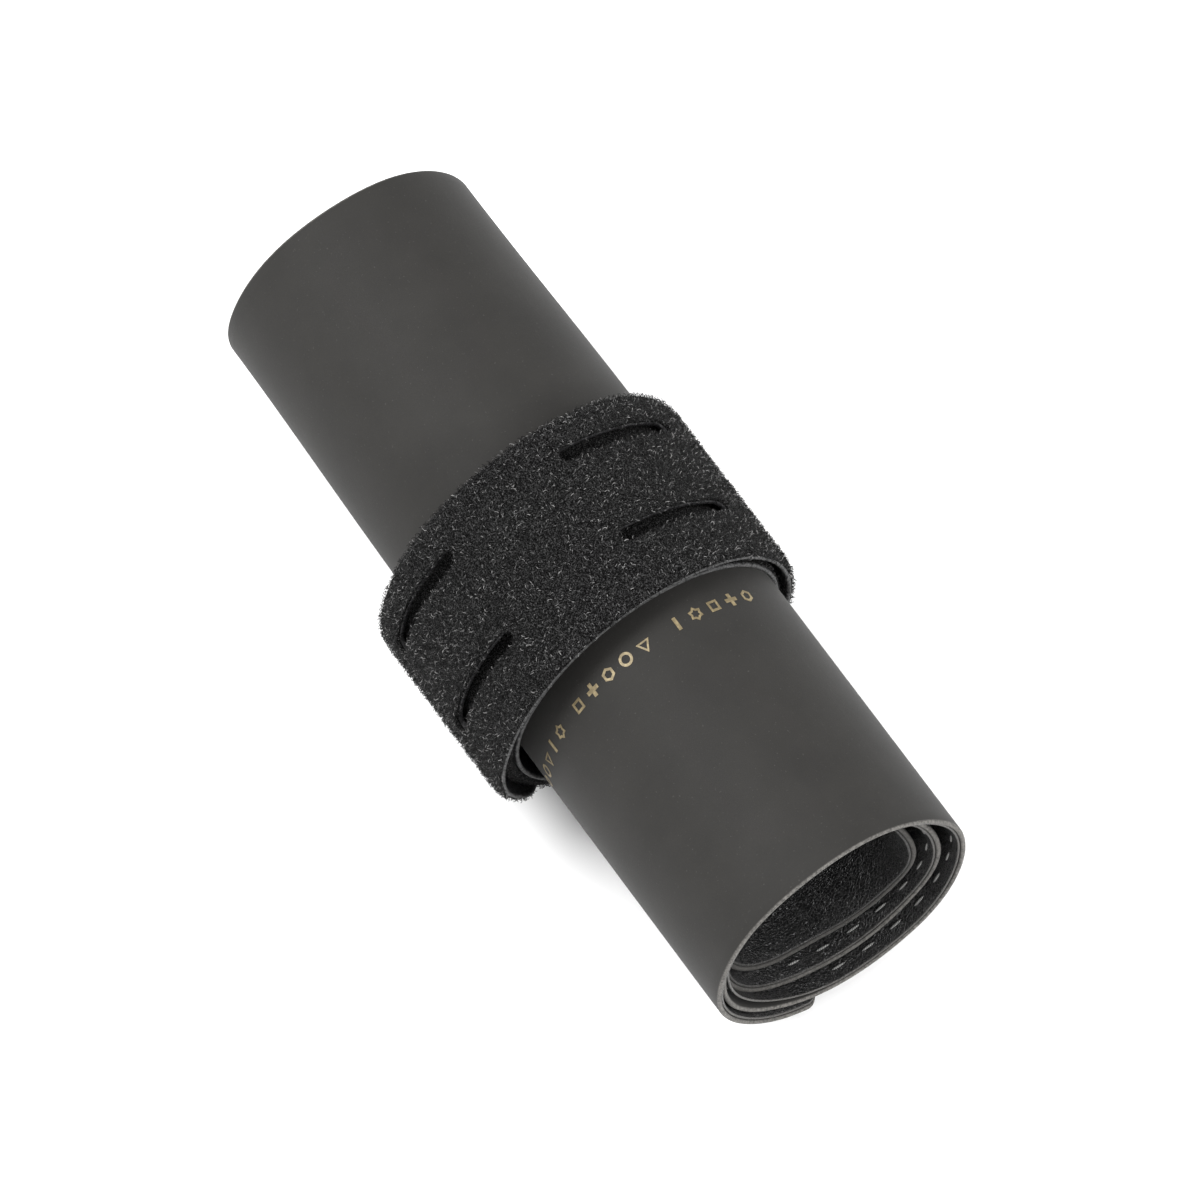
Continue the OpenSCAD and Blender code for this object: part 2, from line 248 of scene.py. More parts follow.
# %% [markdown]
# ## Node trees as plain expressions
# A material or a Geometry Nodes tree is a graph of nodes. Adding nodes one by one makes long code, so a
# small class wraps each output and overloads + - * /, and one method adds any other kind of node: first its
# settings, then the values or links of its inputs.

# %% A small language for node trees
class Wire:
    """A node's output. Arithmetic on wires adds Math nodes."""

    def __init__(self, graph, socket):
        self.graph, self.socket = graph, socket

    def math(self, operation, other=None, swapped=False):
        first, second = (other, self) if swapped else (self, other)
        values = {0: first} if second is None else {0: first, 1: second}
        return self.graph.add("ShaderNodeMath", {"operation": operation}, values)["Value"]

    def __add__(self, other):
        return self.math("ADD", other)

    def __sub__(self, other):
        return self.math("SUBTRACT", other)

    def __rsub__(self, other):
        return self.math("SUBTRACT", other, True)

    def __mul__(self, other):
        return self.math("MULTIPLY", other)

    def __truediv__(self, other):
        return self.math("DIVIDE", other)

    __radd__ = __add__
    __rmul__ = __mul__


class Graph:
    """A node tree, shader or geometry."""

    def __init__(self, tree):
        self.tree = tree

    def add(self, kind, settings=None, inputs=None):
        made = self.tree.nodes.new(kind)
        for key, value in (settings or {}).items():
            if key == "stops":
                self.set_stops(made.color_ramp, value)
            else:
                setattr(made, key, value)
        for key, value in (inputs or {}).items():
            if isinstance(value, Wire):
                self.tree.links.new(value.socket, made.inputs[key])
            else:
                made.inputs[key].default_value = value
        return {o.name: Wire(self, o) for o in reversed(made.outputs) if o.enabled}

    @staticmethod
    def set_stops(ramp, stops):
        while len(ramp.elements) < len(stops):
            ramp.elements.new(0.5)
        for element, (position, colour) in zip(ramp.elements, stops):
            element.position = position
            element.color = (*colour, 1)

    def link(self, wire, node, key):
        self.tree.links.new(wire.socket, node.inputs[key])

    def mix(self, share, first, second):
        """A colour between two others. Colours are tuples or wires, and share goes from 0 to 1."""
        first, second = (c if isinstance(c, Wire) else (*c, 1) for c in (first, second))
        node = {"data_type": "RGBA", "blend_type": "MIX"}
        return self.add("ShaderNodeMix", node, {0: share, 6: first, 7: second})["Result"]

    def noise(self, scale, detail=2.0, roughness=0.5, at=None):
        values = {"Vector": at or self.place(), "Scale": scale, "Detail": detail, "Roughness": roughness}
        return self.add("ShaderNodeTexNoise", {"noise_dimensions": "3D"}, values)["Fac"]

    def cells(self, scale, feature="F1", at=None):
        values = {"Vector": at or self.place(), "Scale": scale}
        return self.add("ShaderNodeTexVoronoi", {"feature": feature}, values)["Distance"]

    def place(self):
        return self.add("ShaderNodeTexCoord")["Object"]

    def wobble(self, scale, distance):
        """A small random offset in all three directions, in metres."""
        values = {"Vector": self.place(), "Scale": scale, "Detail": 2.0}
        random = self.add("ShaderNodeTexNoise", {"noise_dimensions": "3D"}, values)["Color"]
        scaled = {0: random, "Scale": distance}
        return self.add("ShaderNodeVectorMath", {"operation": "SCALE"}, scaled)["Vector"]

    def attribute(self, name):
        return self.add("ShaderNodeAttribute", {"attribute_name": name})["Fac"]

    def ramp(self, value, stops):
        return self.add("ShaderNodeValToRGB", {"stops": stops}, {"Fac": value})["Color"]

    def bump(self, height, strength, distance_mm):
        values = {"Height": height, "Strength": strength, "Distance": distance_mm * MM}
        return self.add("ShaderNodeBump", None, values)["Normal"]


def material(name, build, **fixed):
    """A Principled material. build(graph) returns the links; fixed sets constants on the shader itself."""
    made = bpy.data.materials.new(name)
    made.use_nodes = True
    graph = Graph(made.node_tree)
    shader = made.node_tree.nodes["Principled BSDF"]
    for key, value in fixed.items():
        shader.inputs[key.replace("_", " ")].default_value = value
    for key, wire in build(graph).items():
        graph.link(wire, shader, key)
    return made


# %% [markdown]
# ## The finishes
# Each finish is the pattern of the real material at its real size: a fine dry grain on the coated cloth,
# pebbles on the lining, a twist on the thread, brushed marks on the steel. Patterns read Object
# coordinates, which are metres here, so a scale of 1000 means about one feature a millimetre.

# %% Cloth finishes
SHELL = (0.0142, 0.0134, 0.0122)
CUT_EDGE = (0.115, 0.110, 0.102)
LINING_DARK = (0.0018, 0.0018, 0.0020)
# Painted highlight: the lining's light specks stand for glints on its glossy grain
LINING_GLINT = (0.060, 0.059, 0.057)


def coated_cloth(g):
    cloudy = g.noise(90, 4, 0.6)
    grain = g.noise(4200, 3, 0.65)
    flecks = g.ramp(g.noise(2600, 1, 0.5), [(0.70, (0, 0, 0)), (0.80, (1, 1, 1))])
    dark = tuple(c * 0.86 for c in SHELL)
    light = tuple(c * 1.12 for c in SHELL)
    body = g.mix(g.ramp(cloudy, [(0.3, (0, 0, 0)), (0.7, (1, 1, 1))]), dark, light)
    body = g.mix(flecks * 0.10, body, (0.16, 0.155, 0.145))
    lint = g.ramp(g.noise(1900, 3, 0.75), [(0.35, (0, 0, 0)), (0.68, (1, 1, 1))])
    fibres = g.mix(lint, tuple(c * 0.35 for c in CUT_EDGE), tuple(c * 1.3 for c in CUT_EDGE))
    cut = g.attribute("cut")
    return {
        "Base Color": g.mix(cut, body, fibres),
        "Roughness": 0.66 + 0.14 * grain,
        "Normal": g.bump(grain + cut * g.noise(2400, 3, 0.7) * 2.0, 0.35, 0.05),
    }


def grained_lining(g):
    offset = {0: g.place(), 1: g.wobble(900, 0.25 * MM)}
    warped = g.add("ShaderNodeVectorMath", {"operation": "ADD"}, offset)["Vector"]
    pebbles = g.ramp(g.cells(2100, "DISTANCE_TO_EDGE", warped), [(0.0, (0, 0, 0)), (0.16, (1, 1, 1))])
    creases = g.noise(420, 4, 0.65)
    # Painted highlights: light specks in the base colour stand for glints on the glossy pebble tips
    wear_and_glint = g.ramp(g.noise(3000, 3, 0.7), [(0.56, (0, 0, 0)), (0.66, (1, 1, 1))])
    cut = g.attribute("cut")
    grained = g.mix(wear_and_glint, LINING_DARK, LINING_GLINT)
    return {
        "Base Color": g.mix(cut * 0.55, grained, CUT_EDGE),
        "Roughness": 0.24 + 0.30 * g.noise(1500, 3, 0.6),
        "Normal": g.bump(pebbles * 0.55 + creases * 1.6, 0.9, 0.22),
    }


def woven_elastic(g):
    ribs = g.add("ShaderNodeTexWave", {"bands_direction": "X"}, {"Vector": g.place(), "Scale": 900.0})["Fac"]
    return {
        "Base Color": g.mix(ribs, (0.012, 0.012, 0.013), (0.035, 0.035, 0.037)),
        "Roughness": 0.7 + 0.2 * g.noise(2000),
        "Normal": g.bump(ribs, 0.5, 0.1),
    }


def sewing_thread(g):
    at = {"Vector": g.place(), "Scale": 1500.0}
    twist = g.add("ShaderNodeTexWave", {"bands_direction": "DIAGONAL"}, at)
    return {
        "Base Color": g.mix(twist["Fac"], (0.05, 0.05, 0.05), (0.24, 0.24, 0.23)),
        "Roughness": 0.55 + 0.2 * g.noise(3000),
        "Normal": g.bump(twist["Fac"], 0.6, 0.08),
    }


shell_cloth = material("coated_cloth", coated_cloth, Specular_IOR_Level=0.24, Sheen_Weight=0.03)
lining_grain = material("grained_lining", grained_lining, Specular_IOR_Level=0.45)
elastic = material("woven_elastic", woven_elastic)
thread = material("sewing_thread", sewing_thread)


# %% Hook-and-loop finishes
def pile_ground(g):
    tufts = g.noise(4200, 3, 0.75)
    # Painted light: light specks stand for glinting loop tips, and the near-black between them for the shade
    # down in the pile
    painted_ground_glints = g.ramp(tufts, [(0.5, (0, 0, 0)), (0.6, (1, 1, 1))])
    return {
        "Base Color": g.mix(painted_ground_glints, (0.0008, 0.0008, 0.0008), (0.05, 0.05, 0.05)),
        "Roughness": 0.85 + 0.1 * tufts,
        "Normal": g.bump(tufts, 0.9, 0.3),
    }


def pile_fibre(g):
    # Each fibre's random value sets its colour: partly its own tone, partly painted light, with the brightest
    # fibres painted as glints and the darkest as self-shadow. The fine noise breaks them into specks.
    shade = g.attribute("shade")
    fine = g.noise(2600, 2, 0.6)
    stops = [
        (0.40, (0.001, 0.001, 0.001)),
        (0.54, (0.008, 0.008, 0.008)),
        (0.64, (0.09, 0.09, 0.09)),
        (0.80, (0.34, 0.335, 0.33)),
    ]
    return {"Base Color": g.ramp(shade * 0.4 + fine * 0.66, stops), "Roughness": 0.5 + 0.3 * shade}


def hook_ground(g):
    hooks = g.cells(1400)
    return {
        "Base Color": g.mix(g.attribute("cut"), (0.010, 0.010, 0.011), (0.035, 0.035, 0.035)),
        "Roughness": 0.5 + 0.2 * hooks,
        "Normal": g.bump(hooks, 0.8, 0.4),
    }


pile_base = material("pile_ground", pile_ground, Specular_IOR_Level=0.08)
pile_hair = material("pile_fibre", pile_fibre, Specular_IOR_Level=0.18)
hook_tape = material("hook_tape", hook_ground)


# %% Metal finishes
def brushed(colour, spread):
    def build(g):
        stretched = g.add("ShaderNodeMapping", None, {"Vector": g.place(), "Scale": (40.0, 2600.0, 2600.0)})
        marks = g.noise(1.0, 3, 0.6, stretched["Vector"])
        wear_and_glint = g.ramp(g.noise(260, 4, 0.6), [(0.55, (0, 0, 0)), (0.75, (1, 1, 1))])
        lighter = tuple(min(1.0, c * spread) for c in colour)
        return {
            "Base Color": g.mix(wear_and_glint * 0.5, colour, lighter),
            "Roughness": 0.24 + 0.16 * marks,
            "Normal": g.bump(marks, 0.12, 0.03),
        }

    return build


def lacquer(g):
    specks = g.noise(2200, 3, 0.6)
    return {
        "Base Color": g.mix(specks, (0.012, 0.012, 0.013), (0.03, 0.03, 0.031)),
        "Roughness": 0.38 + 0.2 * specks,
        "Normal": g.bump(specks, 0.25, 0.04),
    }


def gold_foil(g):
    rub = g.ramp(g.noise(1300, 3, 0.6), [(0.42, (0, 0, 0)), (0.62, (1, 1, 1))])
    return {
        "Base Color": g.mix(rub, (0.135, 0.105, 0.055), (0.22, 0.175, 0.095)),
        "Roughness": 0.42 + 0.16 * g.noise(2500),
        "Normal": g.bump(g.noise(4200, 3, 0.65), 0.2, 0.03),
    }


plated_steel = material("plated_steel", brushed((0.62, 0.63, 0.65), 1.2), Metallic=1.0)
dark_steel = material("dark_steel", brushed((0.16, 0.165, 0.175), 2.2), Metallic=1.0)
black_lacquer = material("black_lacquer", lacquer)
gold = material("gold_foil", gold_foil, Metallic=0.3)
print("materials:", len(bpy.data.materials))

# %% [markdown]
# ## Pieces that bend
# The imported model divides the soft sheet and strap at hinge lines. Each soft piece here spans one hinge and
# is blended across it, so it bends smoothly over a few millimetres instead of breaking. The pieces meet in
# the middle of the stiff stretches, where both ends move together and no gap can open.


def follow(piece, bodies, joint=None):
    """Rides on one body; a piece with a joint only has its place baked into its mesh and rides on none."""
    if joint is None:
        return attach(piece, bodies[0])
    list(bodies)
    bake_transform(piece)
    return piece


SHEET_RUNS = [
    ("roll", INNER_EDGE, 770, ["roll"], None),
    ("top", 770, 855, ["roll", "flap_upper"], "wrap_open"),
    ("side", 855, SHEET_END, ["flap_upper", "flap_lower"], "flap_unfold"),
]
STRAP_RUNS = [
    ("sewn", STRAP_FROM, 770, ["roll"], None),
    ("top", 770, 855, ["roll", "flap_upper"], "wrap_open"),
    ("side", 855, 937, ["flap_upper", "flap_lower"], "flap_unfold"),
    ("under", 937, 1012, ["flap_lower", "strap_1"], "strap_unfold_1"),
    ("right", 1012, 1080, ["strap_1", "strap_2"], "strap_unfold_2"),
    ("over", 1080, 1080 + SLOT_ANGLES[0], ["strap_2", "strap_3"], "strap_unfold_3"),
    ("front", 1080 + SLOT_ANGLES[0], 1080 + SLOT_ANGLES[1], ["strap_3", "strap_4"], "strap_unfold_4"),
    ("tip", 1080 + SLOT_ANGLES[1], STRAP_TIP, ["strap_4", "strap_tab"], "tab_lift"),
]

# %% [markdown]
# ## The rolled sheet
# The shell and the lining are two cloths, one inside the other. Both ends of the roll step back a little
# with each inner turn. The free edge has rounded corners, and its cut edges show the light core of the
# cloth, which the "cut" attribute marks for the material.

# %% Where the sheet's ends lie
ROLL_LEN = 147.5
CORNER_R = 3.0


def rounding(angle):
    """How much the rounded free corner takes off the sheet's width at an angle."""
    left = (SHEET_END - angle) * math.pi / 180 * ROLL_R
    if left >= CORNER_R:
        return 0.0
    return CORNER_R - math.sqrt(max(0.0, CORNER_R**2 - (CORNER_R - left) ** 2))


SETBACK_AT = [-180, -90, -45, -15, 0, 15, 30, 45, 90, 135, 180]
SETBACK = [2.5, 3.2, 2.6, 1.9, 1.8, 2.3, 3.3, 4.2, 5.0, 4.0, 2.5]


def near_x(angle):
    """Where the near edge lies: each turn inwards sits a little further back, by an uneven amount."""
    turns_in = max(0.0, (FREE_EDGE - 300 - angle) / 360)
    around = [(angle + off + 180) % 360 - 180 for off in (-12, -6, 0, 6, 12)]
    back = turns_in * float(np.mean(np.interp(around, SETBACK_AT, SETBACK)))
    return ROLL_LEN / 2 - back - rounding(angle)


def far_x(angle):
    """The far end, which steps back evenly."""
    back = np.interp(FREE_EDGE - angle, [0, 360, 1160], [0, 4.4, 11])
    return -ROLL_LEN / 2 + float(back) + rounding(angle)


def wander(angle, seed):
    """A slow wave of a fraction of a millimetre, so that no cut edge is ruler-straight."""
    slow = math.sin(math.radians(angle * 1.7 + seed))
    quick = math.sin(math.radians(angle * 5.3 + 2 * seed))
    return 0.16 * slow + 0.08 * quick


def shell_section(angle):
    points = band_section(far_x(angle) + wander(angle, 40), near_x(angle) + wander(angle, 10), -SHELL_T, 0.0)
    # The cut edges darken on the inner turns: painted shade deeper in the roll
    return [(x, out, mark * painted_edge_shade(angle)) for x, out, mark in points]


def painted_edge_shade(angle):
    """The cut edge is palest on the outermost turn and darker further in, deeper in the roll: painted shade.
    """
    return float(np.interp(angle, [-180, 200, 330, 614], [0.25, 0.4, 0.8, 1.0]))


def lining_section(angle):
    # In the second turn the lining stands off the shell along the near edge's lower left
    gape = max(0.0, math.sin(math.radians((angle - 530) * 180 / 100))) if 530 < angle < 630 else 0.0
    # Its cut edges get the same painted shade on the inner turns as the shell's
    inset = 0.35
    low, high = far_x(angle) + inset + wander(angle, 70), near_x(angle) - inset + wander(angle, 25)
    points = band_section(low, high, -SHELL_T - LINING_T, -SHELL_T - 0.02)
    reach = [max(0.0, 1 - (high - x) / 9) for x, _, _ in points]
    lifted = [out - 1.3 * gape * r * r for (_, out, _), r in zip(points, reach)]
    # In the innermost turn it is free to pucker behind the near edge
    loose = max(0.0, min(1.0, (270 - angle) / 40)) * max(0.0, min(1.0, (angle - INNER_EDGE) / 60))
    return [
        (x, out - loose * pucker(angle, high - x) * (out_rest < -SHELL_T - 0.1), mark * painted_edge_shade(angle))
        for (x, out_rest, mark), out in zip(points, lifted)
    ]


def pucker(angle, back):
    """Height of the wrinkles in the loose lining, in mm, at a distance back from the near edge."""
    if back < 0.8:
        return 0.0
    grow = min(1.0, (back - 0.8) / 3) * max(0.0, 1 - back / 34)
    wave = math.sin(math.radians(angle * 6.1) + 0.55 * back)
    wave += 0.6 * math.sin(math.radians(angle * 11.3) - 0.8 * back)
    ridge = math.exp(-(((back - 6.5) / 2.2) ** 2)) * (0.7 + 0.3 * math.sin(math.radians(angle * 4)))
    return grow * (0.35 * max(0.0, wave) + 0.8 * ridge)


def declare_sheet(piece, start, end, path, wide, extra=0.0):
    angles = steps(start, end, 1.0)
    middle = [place(path, a, 0, extra, False) for a in angles]
    run = sum(float(np.linalg.norm(b - a)) for a, b in zip(middle, middle[1:]))
    wide * MM
    print(f"{piece.name}: {wide:.0f} x {run / MM:.0f} mm")


# %% Make the shell and the lining
for tag, start, end, bodies, joint in SHEET_RUNS:
    fine = 2.0 if tag == "roll" else 1.2
    angles = list(steps(start, end, fine))
    if end == SHEET_END:
        angles = sorted(set(angles) | set(SHEET_END - np.linspace(0.15, 8, 14)))
    shell = sweep(f"shell_{tag}", sheet_path, angles, shell_section)
    lining = sweep(f"lining_{tag}", sheet_path, angles, lining_section)
    shell.data.materials.append(shell_cloth)
    lining.data.materials.append(lining_grain)
    cad = {"roll": "roll", "top": "flap_upper", "side": "flap_lower"}[tag]
    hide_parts(f"shell_{cad}")
    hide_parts(f"lining_{cad}")
    width = near_x((start + end) / 2) - far_x((start + end) / 2)
    declare_sheet(shell, start, end, sheet_path, width, -SHELL_T / 2)
    declare_sheet(lining, start, end, sheet_path, width, -SHELL_T - LINING_T / 2)
    follow(shell, bodies, joint)
    follow(lining, bodies, joint)

# %% [markdown]
# ## Geometry Nodes recipes
# Stitches and pile repeat thousands of times, so they are grown by node trees. A tree takes its sizes as
# named inputs. The result is turned into a plain mesh straight away, because only meshes can ride on bodies.

# %% Building and using a recipe
def recipe(name, inputs):
    """A geometry tree with named inputs, its graph and its input wires."""
    tree = bpy.data.node_groups.new(name, "GeometryNodeTree")
    tree.interface.new_socket("Geometry", in_out="INPUT", socket_type="NodeSocketGeometry")
    for key, value in inputs.items():
        kind = "NodeSocketInt" if isinstance(value, int) else "NodeSocketFloat"
        tree.interface.new_socket(key, in_out="INPUT", socket_type=kind).default_value = value
    tree.interface.new_socket("Geometry", in_out="OUTPUT", socket_type="NodeSocketGeometry")
    graph = Graph(tree)
    return tree, graph, graph.add("NodeGroupInput")


def use_recipe(source, tree, **values):
    """Runs a recipe on an object and returns the result as a new plain mesh object, without the source."""
    modifier = source.modifiers.new("recipe", "NODES")
    modifier.node_group = tree
    for item in tree.interface.items_tree:
        key = item.name.replace(" ", "_")
        if item.in_out == "INPUT" and key in values:
            modifier[item.identifier] = values[key]
    evaluated = source.evaluated_get(bpy.context.evaluated_depsgraph_get())
    mesh = bpy.data.meshes.new_from_object(evaluated)
    source.modifiers.remove(modifier)
    made = bpy.data.objects.new(source.name, mesh)
    name = source.name
    bpy.data.objects.remove(source)
    made.name = name
    bpy.context.collection.objects.link(made)
    return made


# %% The pile recipe: short curved fibres scattered over the outward faces
FIBRE_HALF_THICK = 0.078  # as a share of the fibre's length


def make_pile_recipe():
    inputs = {"Density": 8.0e6, "Length": 0.9 * MM, "Seed": 3}
    tree, g, given = recipe("pile", inputs)
    centre = (0.0, ROLL_CENTRE[0] * MM, ROLL_CENTRE[1] * MM)
    position = g.add("GeometryNodeInputPosition")["Position"]
    normal = g.add("GeometryNodeInputNormal")["Normal"]
    arm = g.add("ShaderNodeVectorMath", {"operation": "SUBTRACT"}, {0: position, 1: centre})["Vector"]
    arm = g.add("ShaderNodeVectorMath", {"operation": "MULTIPLY"}, {0: arm, 1: (0, 1, 1)})["Vector"]
    arm = g.add("ShaderNodeVectorMath", {"operation": "NORMALIZE"}, {0: arm})["Vector"]
    facing = g.add("ShaderNodeVectorMath", {"operation": "DOT_PRODUCT"}, {0: normal, 1: arm})["Value"]
    sideways = g.add("ShaderNodeSeparateXYZ", None, {"Vector": normal})["X"].math("ABSOLUTE")
    chosen = facing.math("GREATER_THAN", 0.25) + sideways.math("GREATER_THAN", 0.6) * 0.6
    spread = g.add(
        "GeometryNodeDistributePointsOnFaces",
        {"distribute_method": "RANDOM"},
        {"Mesh": given["Geometry"], "Density": chosen * given["Density"], "Seed": given["Seed"]},
    )
    kind = {"data_type": "FLOAT"}
    # A random value for each fibre, stored for its material: partly the fibre's own tone, partly painted
    # glints and self-shadow
    shade = g.add("FunctionNodeRandomValue", kind, {2: 0.0, 3: 1.0, "Seed": 11})["Value"]
    points = g.add(
        "GeometryNodeStoreNamedAttribute",
        {"data_type": "FLOAT", "domain": "POINT"},
        {"Geometry": spread["Points"], "Name": "shade", "Value": shade * shade},
    )["Geometry"]
    tilt = g.add(
        "FunctionNodeRandomValue",
        {"data_type": "FLOAT_VECTOR"},
        {0: (-0.55, -0.55, 0.0), 1: (0.55, 0.55, 6.283), "Seed": 12},
    )["Value"]
    turned = g.add("FunctionNodeEulerToRotation", None, {"Euler": tilt})["Rotation"]
    rotation = g.add(
        "FunctionNodeRotateRotation",
        {"rotation_space": "LOCAL"},
        {"Rotation": spread["Rotation"], "Rotate By": turned},
    )["Rotation"]
    arc = g.add(
        "GeometryNodeCurveQuadraticBezier",
        None,
        {"Resolution": 2, "Start": (0, 0, -0.05), "Middle": (0.1, 0, 0.85), "End": (0.75, 0, 0.75)},
    )["Curve"]
    round_it = {"Resolution": 3, "Radius": FIBRE_HALF_THICK}
    ring = g.add("GeometryNodeCurvePrimitiveCircle", None, round_it)["Curve"]
    fibre = g.add(
        "GeometryNodeCurveToMesh", None, {"Curve": arc, "Profile Curve": ring, "Fill Caps": True}
    )["Mesh"]
    size = g.add("FunctionNodeRandomValue", kind, {2: 0.55, 3: 1.25, "Seed": 13})["Value"]
    planted = g.add(
        "GeometryNodeInstanceOnPoints",
        None,
        {"Points": points, "Instance": fibre, "Rotation": rotation, "Scale": size * given["Length"]},
    )["Instances"]
    real = g.add("GeometryNodeRealizeInstances", None, {"Geometry": planted})["Geometry"]
    real = g.add("GeometryNodeSetMaterial", None, {"Geometry": real, "Material": pile_hair})["Geometry"]
    join = g.tree.nodes.new("GeometryNodeJoinGeometry")
    g.link(real, join, "Geometry")
    g.link(given["Geometry"], join, "Geometry")
    out = g.tree.nodes.new("NodeGroupOutput")
    g.link(Wire(g, join.outputs["Geometry"]), out, "Geometry")
    return tree


# %% The stitch recipe: a thread lying along a line, dash after dash
def make_stitch_recipe():
    tree, g, given = recipe("stitches", {"Spacing": 5.8 * MM, "Length": 2.7 * MM, "Thickness": 0.42 * MM})
    line = g.add("GeometryNodeMeshToCurve", None, {"Mesh": given["Geometry"]})["Curve"]
    spaced = g.add(
        "GeometryNodeResampleCurve", {"mode": "LENGTH"}, {"Curve": line, "Length": given["Spacing"]}
    )["Curve"]
    tangent = g.add("GeometryNodeInputTangent")["Tangent"]
    along = g.add("FunctionNodeAlignRotationToVector", {"axis": "X"}, {"Vector": tangent})["Rotation"]
    bead = g.add("GeometryNodeMeshUVSphere", None, {"Segments": 8, "Rings": 6, "Radius": 0.5})["Mesh"]
    width = given["Thickness"]
    size = g.add("ShaderNodeCombineXYZ", None, {"X": given["Length"], "Y": width, "Z": width})["Vector"]
    laid = g.add(
        "GeometryNodeInstanceOnPoints",
        None,
        {"Points": spaced, "Instance": bead, "Rotation": along, "Scale": size},
    )["Instances"]
    real = g.add("GeometryNodeRealizeInstances", None, {"Geometry": laid})["Geometry"]
    real = g.add("GeometryNodeSetMaterial", None, {"Geometry": real, "Material": thread})["Geometry"]
    real = g.add("GeometryNodeSetShadeSmooth", None, {"Geometry": real})["Geometry"]
    out = g.tree.nodes.new("NodeGroupOutput")
    g.link(real, out, "Geometry")
    return tree


pile_recipe = make_pile_recipe()
stitch_recipe = make_stitch_recipe()
print("recipes:", [t.name for t in bpy.data.node_groups])


def stitch_line(name, points, spacing=5.8, length=2.7, thickness=0.44):
    """A row of stitches along a line of points, in metres."""
    edges = [(k, k + 1) for k in range(len(points) - 1)]
    mesh = bpy.data.meshes.new(name)
    mesh.from_pydata([tuple(p) for p in points], edges, [])
    line = bpy.data.objects.new(name, mesh)
    bpy.context.collection.objects.link(line)
    return use_recipe(
        line, stitch_recipe, Spacing=spacing * MM, Length=length * MM, Thickness=thickness * MM
    )


# %% [markdown]
# ## The strap
# The strap is one band: hook tape on the inside, a ground with short pile on the outside. Its first part is
# sewn down on the shell, then it goes once round the roll and grips its own pile. The slots are cut with a
# Boolean, whose cutter is swept along the same path, so that a slot is curved and has round ends. The pile
# is grown after the cut, so no fibre stands over a slot.

# %% Slot cutters
STRAP_HALF = 17.9
TIP_R = 8.0
GROUND_OUT = 1.5
SLOT_MIDDLES = (-0.5, 1.2)
SLOT_SPARE = 0.35


def on_strap(path_angle, section):
    """Moves a strap section to where the strap lies at that angle."""
    lean, middle = strap_lean(path_angle), strap_middle(path_angle)
    return [(x + middle, out + lean, mark) for x, out, mark in section]


def slot_cutter(name, middle, x):
    """A curved bar with rounded ends, a little wider than the strap is thick."""
    _, radius = strap_path(middle + 1080)
    reach = math.degrees(SLOT_L / 2 / (radius + GROUND_OUT))

    def section(angle):
        left = max(0.0, (reach - abs(angle - middle - 1080)) * math.pi / 180 * radius)
        half = SLOT_W / 2 + SLOT_SPARE
        h = half if left > half else math.sqrt(max(0.02, half**2 - (half - left) ** 2))
        low, high = strap_lean(angle) - 0.6, strap_lean(angle) + STRAP_T + 0.4
        return [(x - h, low, 0), (x - h, high, 0), (x + h, high, 0), (x + h, low, 0)]

    ends = [0.05, 0.3, 0.6, 1.0, 1.5, 2.1, 3.0]
    start, end = middle + 1080 - reach, middle + 1080 + reach
    close_steps = [start + e for e in ends] + [end - e for e in ends]
    angles = sorted(close_steps + list(steps(start + 4, end - 4, 1.5)))
    cutter = sweep(name, strap_path, angles, section, False)
    mesh_outwards(cutter)
    return cutter


def mesh_outwards(piece):
    """Turns every face of a closed mesh outwards."""
    work = bmesh.new()
    work.from_mesh(piece.data)
    bmesh.ops.recalc_face_normals(work, faces=work.faces)
    work.to_mesh(piece.data)
    work.free()


def cut(piece, cutters):
    """Takes the cutters out of a piece and keeps the result as its plain mesh."""
    for cutter in cutters:
        modifier = piece.modifiers.new("slot", "BOOLEAN")
        modifier.object = cutter
        modifier.operation = "DIFFERENCE"
        modifier.solver = "EXACT"
    mesh = bpy.data.meshes.new_from_object(piece.evaluated_get(bpy.context.evaluated_depsgraph_get()))
    piece.modifiers.clear()
    piece.data = mesh


slot_cutters = [
    slot_cutter(f"slot_{k}_{side}", middle, SLOT_MIDDLES[k] + side * SLOT_PITCH / 2)
    for k, middle in enumerate(SLOT_ANGLES)
    for side in (-1, 1)
]


def strap_half(angle):
    """Half the strap's width: rounded off at the tip."""
    left = (STRAP_TIP - angle) * math.pi / 180 * (ROLL_R + 4)
    if left >= TIP_R:
        return STRAP_HALF
    return STRAP_HALF - TIP_R + math.sqrt(max(0.0, TIP_R**2 - (TIP_R - left) ** 2))


def tape_section(angle):
    half = strap_half(angle)
    return on_strap(angle, band_section(-half, half, 0.0, HOOK_T, across=20, round_steps=3))


def ground_section(angle):
    """The pile's ground, rounded off towards both sides. It is pressed flat where the free strap covers it."""
    half = strap_half(angle) - (0.15 if angle > FREE_EDGE else 0.45)
    top = GROUND_OUT if angle > FREE_EDGE else 1.25 + 2.6 * swell(angle)
    points = band_section(-half, half, HOOK_T + 0.02, top, across=26, round_steps=3)
    softened = [
        0.5 * max(0.0, abs(x) - half + 2.4) ** 2 / 2.4**2 * (out > HOOK_T + 0.3)
        for x, out, _ in points
    ]
    return on_strap(angle, [(x, out - s, mark) for (x, out, mark), s in zip(points, softened)])


# %% Press flat what would go through the floor
def press_down(piece, depth=0.3 * MM):
    """Squeezes everything under a small height into the space above the floor, keeping its order."""
    for vertex in piece.data.vertices:
        if vertex.co.z < depth:
            vertex.co.z = depth * math.exp((vertex.co.z - depth) / depth)
    piece.data.update()


